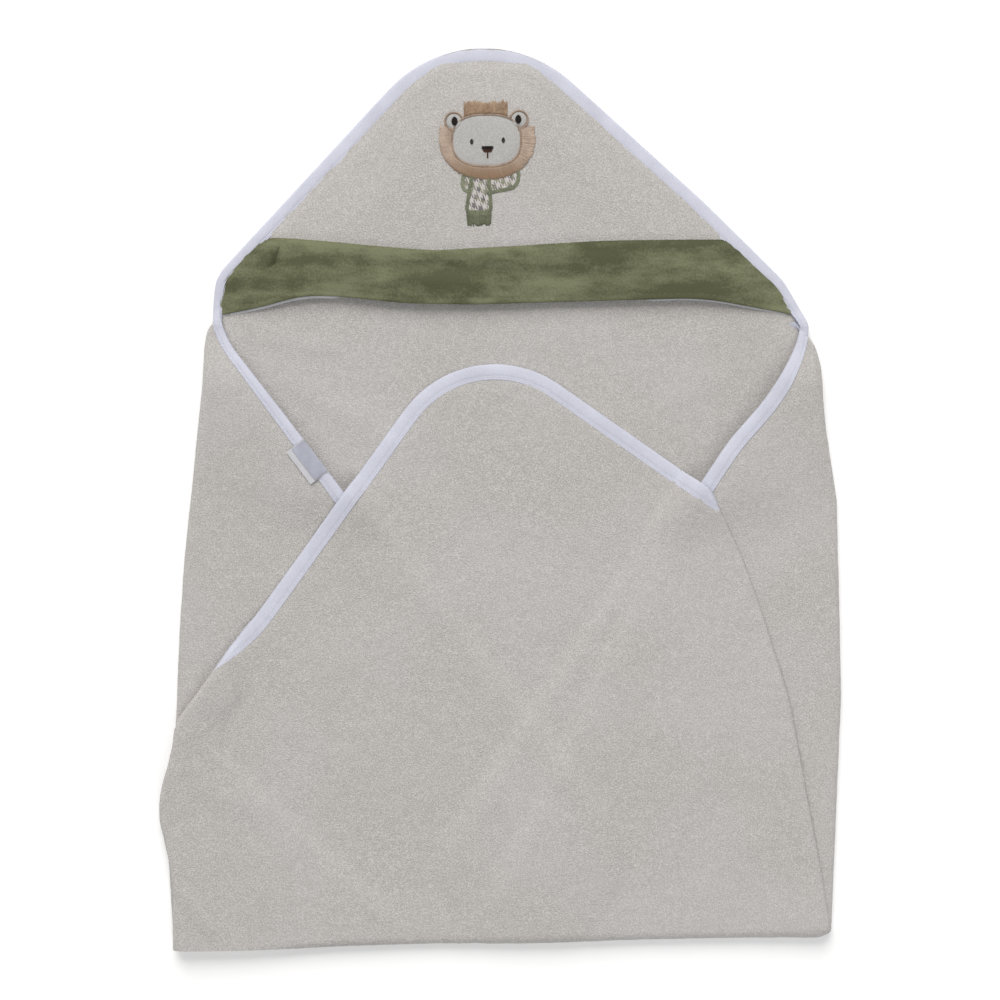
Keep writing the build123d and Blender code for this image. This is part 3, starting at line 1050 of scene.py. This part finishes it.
def build_facing():
    """The white lining strip, which peeks out below the hem near both ends."""
    def lower(x):
        peek = 3.3 * smooth_step((-0.100 - x) / 0.012) + 2.9 * smooth_step((x - 0.090) / 0.012)
        return band_hem(x) + (2 - peek) * MM
    shares = np.linspace(0, 1, 14)
    x, y = fill_hood(lower, lambda x: band_hem(x) + 14 * MM, shares, 150, 9 * MM)
    middle = band_surface(x, y)
    middle[..., 2] -= 1.35 * MM
    obj = closed_sheet("hood_band_lining", middle, 0.3 * MM)
    dress(obj, WHITE_CLOTH, "facing_cloth", "hood_band_facing")
    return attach(obj, "hood")


# ==== tape and stitching ===========================================================================

def hood_cut():
    """The hood's edge, which turns at both ends of the neck and runs on to the side flaps."""
    right_end = [(0.2062, 0.1095), (0.2076, 0.1160)]
    left_end = [(-0.1926, 0.1222), (-0.1915, 0.1149), (-0.1887, 0.1090)]
    middle = resample(HOOD.part((0.207, 0.1223), (-0.192, 0.1223)), EDGE_SPACING)[3:-3]
    path = smooth_path(np.concatenate([right_end, middle, left_end]), 2.0 * MM, 4)
    return path + inward(path) * TAPE_WRAP


def hood_tape_width(edge):
    """The hood's tape narrows towards the neck, and more so on the left."""
    x, y = edge.T
    left = np.interp(y, [0.118, 0.135, 0.173, 0.270], [0.42, 0.50, 0.66, 0.92])
    right = np.interp(y, [0.116, 0.130, 0.173, 0.270], [0.42, 0.55, 0.84, 0.92])
    share = smooth_step((x + 0.12) / 0.12)
    return left * (1 - share) + right * share


def bind(name, edge, surface, nodes, bend, width, thick=1.0):
    """Tape along an edge and the topstitching on it."""
    width = np.broadcast_to(width, len(edge))
    band = tape("tape_" + name, edge, surface, thick, width)
    dress(band, WHITE_TAPE, "binding_tape", *nodes)
    bend(band)
    line = edge + inward(edge) * STITCH_INSET * width[:, None]
    thread = stitch_row("stitches_" + name, line, surface, 0.80 * thick * MM)
    dress(thread, WHITE_THREAD, "white_thread", name + "_topstitch")
    bend(thread)
    return band, thread


# ==== embroidery ===================================================================================

FACE = np.array([-8.5, 240.5]) * MM     # the middle of the face
THREAD = 0.55 * MM                      # the spacing of satin stitches
ROOTED = -0.9 * MM                      # cloth and threads reach this far into the hood's pile


def skin(plan, rise=0.0):
    """Points at a height over the hood's terry."""
    point = hood_surface(plan[..., 0], plan[..., 1])
    point[..., 2] += TERRY / 2 + 0.1 * MM + rise
    return point


def oval(centre, radii, power=2.0, start=0.0, stop=360.0, count=180):
    """Points in mm round a rounded box or ellipse in the face's frame."""
    turn = np.radians(np.linspace(start, stop, count))
    c, s = np.cos(turn), np.sin(turn)
    x = centre[0] + radii[0] * np.sign(c) * np.abs(c) ** (2 / power)
    y = centre[1] + radii[1] * np.sign(s) * np.abs(s) ** (2 / power)
    return np.stack([x, y], -1)


def on_hood(points_mm):
    return FACE + np.asarray(points_mm) * MM


def wrap_faces(rows, columns, offset=0):
    index = offset + np.arange(rows * columns).reshape(rows, columns)
    after = np.roll(index, -1, axis=1)
    return np.stack([c.ravel() for c in (index[:-1], after[:-1], after[1:], index[1:])], -1)


def patch(name, rim, thickness, rings=12):
    """A piece of cloth inside a rim, a little thicker in the middle than at its edge."""
    rim = on_hood(rim[:-1])
    centre = rim.mean(axis=0)
    share = 1 - (1 - np.linspace(0, 1, rings + 1)) ** 1.8
    plan = centre + share[:, None, None] * (rim - centre)
    rise = thickness * np.sqrt(1 - 0.999 * share ** 8) * (1 - 0.15 * share)
    nap = 0.05 * MM * noise(plan[..., 0], plan[..., 1], 1.6 * MM, 95)
    rise = rise[:, None] + nap * (share < 0.95)[:, None]
    upper, lower = skin(plan, rise), skin(plan, ROOTED)
    rows, columns = plan.shape[:2]
    count = rows * columns
    last = np.arange(count - columns, count)
    sides = np.stack([last, last + count, np.roll(last, -1) + count, np.roll(last, -1)], -1)
    faces = np.concatenate([wrap_faces(rows, columns), wrap_faces(rows, columns, count)[:, ::-1], sides])
    return new_mesh(name, np.concatenate([upper.reshape(-1, 3), lower.reshape(-1, 3)]), faces)


def satin(name, inner, outer, height, ragged=0.0, seed=1, thread=THREAD):
    """Satin stitch between two lines: raised threads side by side, each from one line to the other."""
    inner, outer = on_hood(inner), on_hood(outer)
    lengths = [steps_along(line).sum() for line in (inner, outer)]
    threads = max(3, int(max(lengths) / thread))
    stations = threads * 4 + 1
    inner, outer = (resample(line, length / (stations - 1)) for line, length in zip((inner, outer), lengths))
    which = np.minimum(np.arange(stations) // 4, threads - 1)
    random = np.random.default_rng(seed)
    reach = (1 + random.uniform(-1, 1, threads) * 0.05)[which]
    extra = (random.uniform(-1, 1, threads) * ragged * MM)[which]
    level = (1 + random.uniform(-1, 1, threads) * 0.12)[which]
    share = np.linspace(0, 1, 10)
    across = outer - inner
    width = np.linalg.norm(across, axis=1)
    share_here = 0.5 + (share[None, :] - 0.5) * reach[:, None]
    share_here = share_here + share[None, :] ** 3 * (extra / np.maximum(width, 1e-6))[:, None]
    plan = inner[:, None] + across[:, None] * share_here[..., None]
    ridge_shape = 0.72 + 0.28 * np.abs(np.sin(np.pi * np.arange(stations) / 4))
    end_shape = np.sqrt(1 - 0.98 * np.abs(2 * share - 1) ** 6)
    rise = height * (ridge_shape * level)[:, None] * end_shape[None, :]
    upper, lower = skin(plan, rise), skin(plan, ROOTED)
    points = np.concatenate([upper.reshape(-1, 3), lower.reshape(-1, 3)])
    return new_mesh(name, points, shell_faces(stations, len(share)), 80)


def joined(name, parts):
    """Several small meshes made into one piece."""
    with bpy.context.temp_override(active_object=parts[0], selected_editable_objects=parts):
        bpy.ops.object.join()
    parts[0].name = name
    return parts[0]


def on_the_hood(obj, material, slot, node):
    dress(obj, material, slot, node)
    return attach(obj, "hood")


def rounded(corners, reach=7):
    """A closed outline in mm through some corners, taken anticlockwise, with the corners rounded."""
    closed = resample(np.array(corners + corners[:1], float), 0.35)[:-1]
    wide = np.concatenate([closed[-reach:], closed, closed[:reach]])
    smooth = np.stack([np.convolve(wide[:, k], bell(reach), mode="valid") for k in range(2)], -1)
    return np.concatenate([smooth, smooth[:1]])


def shrunk(rim, inset):
    """The same outline drawn in by a distance in mm."""
    open_rim = rim[:-1]
    ahead = unit(np.roll(open_rim, -1, axis=0) - np.roll(open_rim, 1, axis=0))
    inner = open_rim + inset * to_the_left(ahead)
    return np.concatenate([inner, inner[:1]])


FACE_MIDDLE = (-0.5, -0.9)              # in mm in the face's frame, like every size below
FACE_RADII = (22.3, 16.6)
FACE_POWER = 2.6
RIM_WIDTH = 1.3
EARS = [(-22.2, 11.6), (21.1, 12.9)]
EAR_RADIUS = 5.3
EYES = [(-10.3, -2.0), (10.7, -1.0)]


def half_ovals(centre, radii):
    """The left and right halves of a small oval, both from its bottom to its top."""
    return oval(centre, radii, 2, 265, 95, 30), oval(centre, radii, 2, -85, 85, 30)


def build_face():
    """The cub's face: fleece, a thread outline, ears, eyes, muzzle, a mane and a tuft of hair."""
    wide = tuple(r + RIM_WIDTH for r in FACE_RADII)
    under = tuple(r + RIM_WIDTH / 2 for r in FACE_RADII)
    cloth = [patch("face_cloth", oval(FACE_MIDDLE, under, FACE_POWER), 1.2 * MM, 16)]
    cloth += [patch("ear_cloth", oval(ear, (EAR_RADIUS, EAR_RADIUS), count=60), 1.4 * MM) for ear in EARS]
    cloth += [patch("cheek", oval((x, -8.6), (4.4, 3.4), count=50), 1.3 * MM, 8) for x in (-3.6, 4.0)]
    on_the_hood(joined("applique_face_cloth", cloth), FLEECE, "applique_cloth", "applique_face")

    rims = [satin("face_rim", oval(FACE_MIDDLE, FACE_RADII, FACE_POWER, 90, 449.8),
                  oval(FACE_MIDDLE, wide, FACE_POWER, 90, 449.8), 1.4 * MM)]
    outer = EAR_RADIUS + RIM_WIDTH
    for ear, (start, stop) in zip(EARS, ((15, 275), (-95, 165))):
        rims.append(satin("ear_rim", oval(ear, (EAR_RADIUS, EAR_RADIUS), 2, start, stop, 80),
                          oval(ear, (outer, outer), 2, start, stop, 80), 1.5 * MM))
    on_the_hood(joined("applique_rim_thread", rims), RIM_THREAD, "tan_thread", "applique_outline")

    inner_ears = [satin("inner_ear", *half_ovals((ear[0] * 0.98, ear[1]), (2.5, 2.9)), 2.2 * MM)
                  for ear in EARS]
    on_the_hood(joined("applique_inner_ears_thread", inner_ears), BROWN_THREAD, "brown_thread",
                "applique_inner_ears")
    eyes = [satin("eye", *half_ovals(eye, (1.5, 1.8)), 1.6 * MM, thread=0.4 * MM) for eye in EYES]
    on_the_hood(joined("applique_eyes_thread", eyes), EYE_THREAD, "brown_thread", "applique_eyes")
    nose = satin("nose", [(-2.8, -9.0), (-4.7, -6.4), (-4.5, -4.9)], [(3.2, -9.0), (5.0, -6.4), (4.8, -4.9)],
                 1.8 * MM, thread=0.4 * MM)
    mouth = satin("mouth", [(-0.4, -12.8), (-0.4, -8.8)], [(0.9, -12.8), (0.9, -8.8)], 1.6 * MM,
                  thread=0.4 * MM)
    on_the_hood(joined("applique_nose_thread", [nose, mouth]), NOSE_THREAD, "brown_thread", "applique_nose")

    mane = satin("applique_mane_thread", oval(FACE_MIDDLE, under, FACE_POWER, 20, -200),
                 oval((0, 0.6), (32.2, 27.9), 2.15, 15.3, -195.3), 1.2 * MM, ragged=0.4, seed=5,
                 thread=0.75 * MM)
    on_the_hood(mane, MANE_THREAD, "tan_thread", "applique_mane")

    tuft_x = np.linspace(-15.6, 13.5, 60)
    tuft_top = 25.0 + 0.7 * noise(tuft_x * MM, tuft_x * 0, 5 * MM, 44)
    from_middle = np.abs((tuft_x - FACE_MIDDLE[0]) / wide[0])
    tuft_low = FACE_MIDDLE[1] + wide[1] * (1 - from_middle ** FACE_POWER) ** (1 / FACE_POWER)
    tuft = satin("applique_tuft_thread", np.stack([tuft_x, tuft_low - 0.2], -1),
                 np.stack([tuft_x, tuft_top], -1), 1.15 * MM, ragged=1.1, seed=8, thread=0.7 * MM)
    on_the_hood(tuft, TAN_THREAD, "tan_thread", "applique_tuft")


# The scarf's three pieces in mm, each anticlockwise: the hanging tail, the loop and the short end.
SCARF_TAIL = [(2.4, -23.0), (-11.5, -23.0), (-15.0, -47.0), (-12.6, -49.9), (1.6, -49.9), (3.6, -47.0)]
SCARF_LOOP = [(20.5, -19.5), (-2.0, -24.0), (-2.0, -37.8), (18.0, -33.6), (21.6, -29.0), (22.3, -23.0)]
SCARF_END = [(-8.0, -23.0), (-16.8, -23.0), (-17.8, -30.0), (-16.8, -34.2), (-13.8, -36.0), (-8.0, -36.0)]
SCARF_BORDER = 2.5


def build_scarf():
    """The scarf below the face: checked cloth with satin borders and a fringe."""
    borders = []
    layers = (("tail", SCARF_TAIL, 0.60), ("loop", SCARF_LOOP, 0.30), ("end", SCARF_END, 0.28))
    for part, corners, thickness in layers:
        rim = rounded(corners)
        inner = shrunk(rim, SCARF_BORDER)
        cloth = patch(f"applique_scarf_{part}_cloth", shrunk(rim, SCARF_BORDER - 0.5), thickness * MM)
        on_the_hood(cloth, CHECK_CLOTH, "scarf_cloth", f"applique_scarf_{part}")
        borders.append(satin(f"{part}_border", inner, rim, (thickness + 0.25) * MM, ragged=0.2, seed=21))
    on_the_hood(joined("applique_scarf_border_thread", borders), SAGE_THREAD, "sage_thread",
                "applique_scarf_border")
    fringe = satin("applique_scarf_fringe_thread", [(-14.0, -48.6), (3.0, -48.6)],
                   [(-13.2, -57.4), (2.4, -57.4)], 0.95 * MM, ragged=0.9, seed=23, thread=0.8 * MM)
    on_the_hood(fringe, DARK_SAGE_THREAD, "sage_thread", "applique_scarf_fringe")


# ==== labels =======================================================================================

LABEL_SEAM = 2.4 * MM       # from the hinge line, at the tape's edge, to the seam of the labels


def build_label(name, node, material, slot, along, reach, lift, half, curl):
    """A blank ribbon that hangs from the seam at the towel's edge and lies over the tape."""
    joint = next(j for j in frame["joints"] if j["name"] == "labels_lift")
    hinge, axis = np.array(joint["pos_m"][:2]), np.array(joint["axis"][:2])
    out = np.array([-axis[1], axis[0]])
    s, d = np.meshgrid(np.linspace(-along / 2, along / 2, 36), np.linspace(-0.6 * MM, reach, 26))
    plan = hinge + s[..., None] * axis + (d + LABEL_SEAM)[..., None] * out
    off_tape = smooth_step((d - 10 * MM) / (7 * MM))
    z = left_level(plan[..., 0], plan[..., 1]) + (1.95 - 0.35 * off_tape) * MM + lift
    z = z + curl * (d / reach) ** 2 * (0.6 + 0.4 * (2 * s / along) ** 2)
    z = z + 0.15 * MM * noise(s, d, 9 * MM, 97)
    middle = np.concatenate([plan, z[..., None]], -1)
    obj = closed_sheet(name, middle[:, ::-1], half)
    dress(obj, material, slot, node)
    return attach(obj, "labels")


# ==== build ========================================================================================

left_edge, right_edge, bottom_edge = left_cut(), right_cut(), bottom_cut()
back = build_back()
left_flap = build_side_flap("terry_left_flap", "towel_left_flap", left_flap_surface, left_level,
                            left_side, left_edge, -1, 63)
right_flap = build_side_flap("terry_right_flap", "towel_right_flap", right_flap_surface, right_level,
                             right_side, right_edge, 1, 65)
bottom_flap = build_bottom_flap(bottom_edge)
hood_panel = build_hood_panel()
band = build_band()
lining = build_facing()

left_width = np.interp(left_edge[:, 1], [0.0, 0.10], [0.68, 0.48])
right_width = np.interp(right_edge[:, 1], [0.08, 0.115], [0.76, 0.46])
hood_edge = hood_cut()
left_tape, left_stitches = bind("left_flap", left_edge, left_flap_surface, ["left_flap_binding"],
                                bend_at_neck, left_width, thick=1.1)
right_tape, right_stitches = bind("right_flap", right_edge, right_flap_surface, ["right_flap_binding"],
                                  bend_at_neck, right_width, thick=1.1)
hood_tape, hood_stitches = bind("hood_binding", hood_edge, hood_edge_surface, ["hood_binding"],
                                bend_at_neck, hood_tape_width(hood_edge), thick=1.25)
bottom_tape, bottom_stitches = bind(
    "bottom_flap", bottom_edge, bottom_flap_surface,
    ["bottom_flap_binding", "right_under_fold_binding", "left_under_fold_binding"], bend_at_crease, 0.80)

hem_line = np.linspace(-0.150, 0.155, 200)
hem_line = np.stack([hem_line, band_hem(hem_line) + HEM_STITCH], -1)
hem_stitches = stitch_row("stitches_hood_band", hem_line, band_surface, 0.55 * MM, gap=1.6 * MM)
on_the_hood(hem_stitches, DARK_SAGE_THREAD, "sage_thread", "hood_band_topstitch")

build_face()
build_scarf()
care_label = build_label("care_label_ribbon", "care_label", LABEL_CLOTH, "care_label_cloth",
                         27 * MM, 14 * MM, 0.0, 0.16 * MM, 0.4 * MM)
brand_label = build_label("brand_label_ribbon", "brand_label", SATIN, "satin_label",
                          25.5 * MM, 10 * MM, 0.5 * MM, 0.18 * MM, 0.3 * MM)


# ==== stage ========================================================================================

def stage_object(name, data, place):
    """An object of the stage, put in the scene."""
    obj = bpy.data.objects.new(name, data)
    obj.location = place
    bpy.context.scene.collection.objects.link(obj)
    return obj


def area_light(name, place, size, power, colour):
    """A soft square light that faces the origin."""
    light = bpy.data.lights.new(name, "AREA")
    light.size = size
    light.energy = power
    light.color = colour
    tilt = math.acos(place[2] / np.linalg.norm(place))
    obj = stage_object(name, light, place)
    obj.rotation_euler = (tilt, 0, math.atan2(place[0], -place[1]))


def build_stage():
    """A pale floor, a soft light beyond the hood, a weak one across from it, and a camera overhead."""
    floor = bpy.data.meshes.new("floor")
    side = 4.0
    corners = [(-side, -side, 0), (side, -side, 0), (side, side, 0), (-side, side, 0)]
    floor.from_pydata(corners, [], [(0, 1, 2, 3)])
    paper = Shader("paper")
    paper.set(Base_Color=(0.97, 0.97, 0.97), Roughness=1.0, Specular_IOR_Level=0.0,
              Emission_Color=WHITE, Emission_Strength=0.13)
    floor.materials.append(paper.material)
    stage_object("floor", floor, (0, 0, -0.3 * MM))

    area_light("key", (-1.0, 5.4, 4.7), 5.4, 462.0, (1.0, 0.985, 0.965))
    area_light("fill", (0.9, -2.6, 3.0), 2.6, 42.0, (0.98, 0.99, 1.0))

    world = bpy.data.worlds.new("studio")
    world.use_nodes = True
    sky = world.node_tree.nodes["Background"].inputs
    sky["Color"].default_value = (*WHITE, 1)
    sky["Strength"].default_value = 0.33
    bpy.context.scene.world = world

    camera = bpy.data.cameras.new("camera")
    camera.sensor_width = 36.0
    distance, view_width = 1.5, 0.668
    camera.lens = camera.sensor_width * distance / view_width
    bpy.context.scene.camera = stage_object("camera", camera, (0, 0, distance + 6 * MM))
    bpy.context.scene.view_settings.view_transform = "Standard"


build_stage()
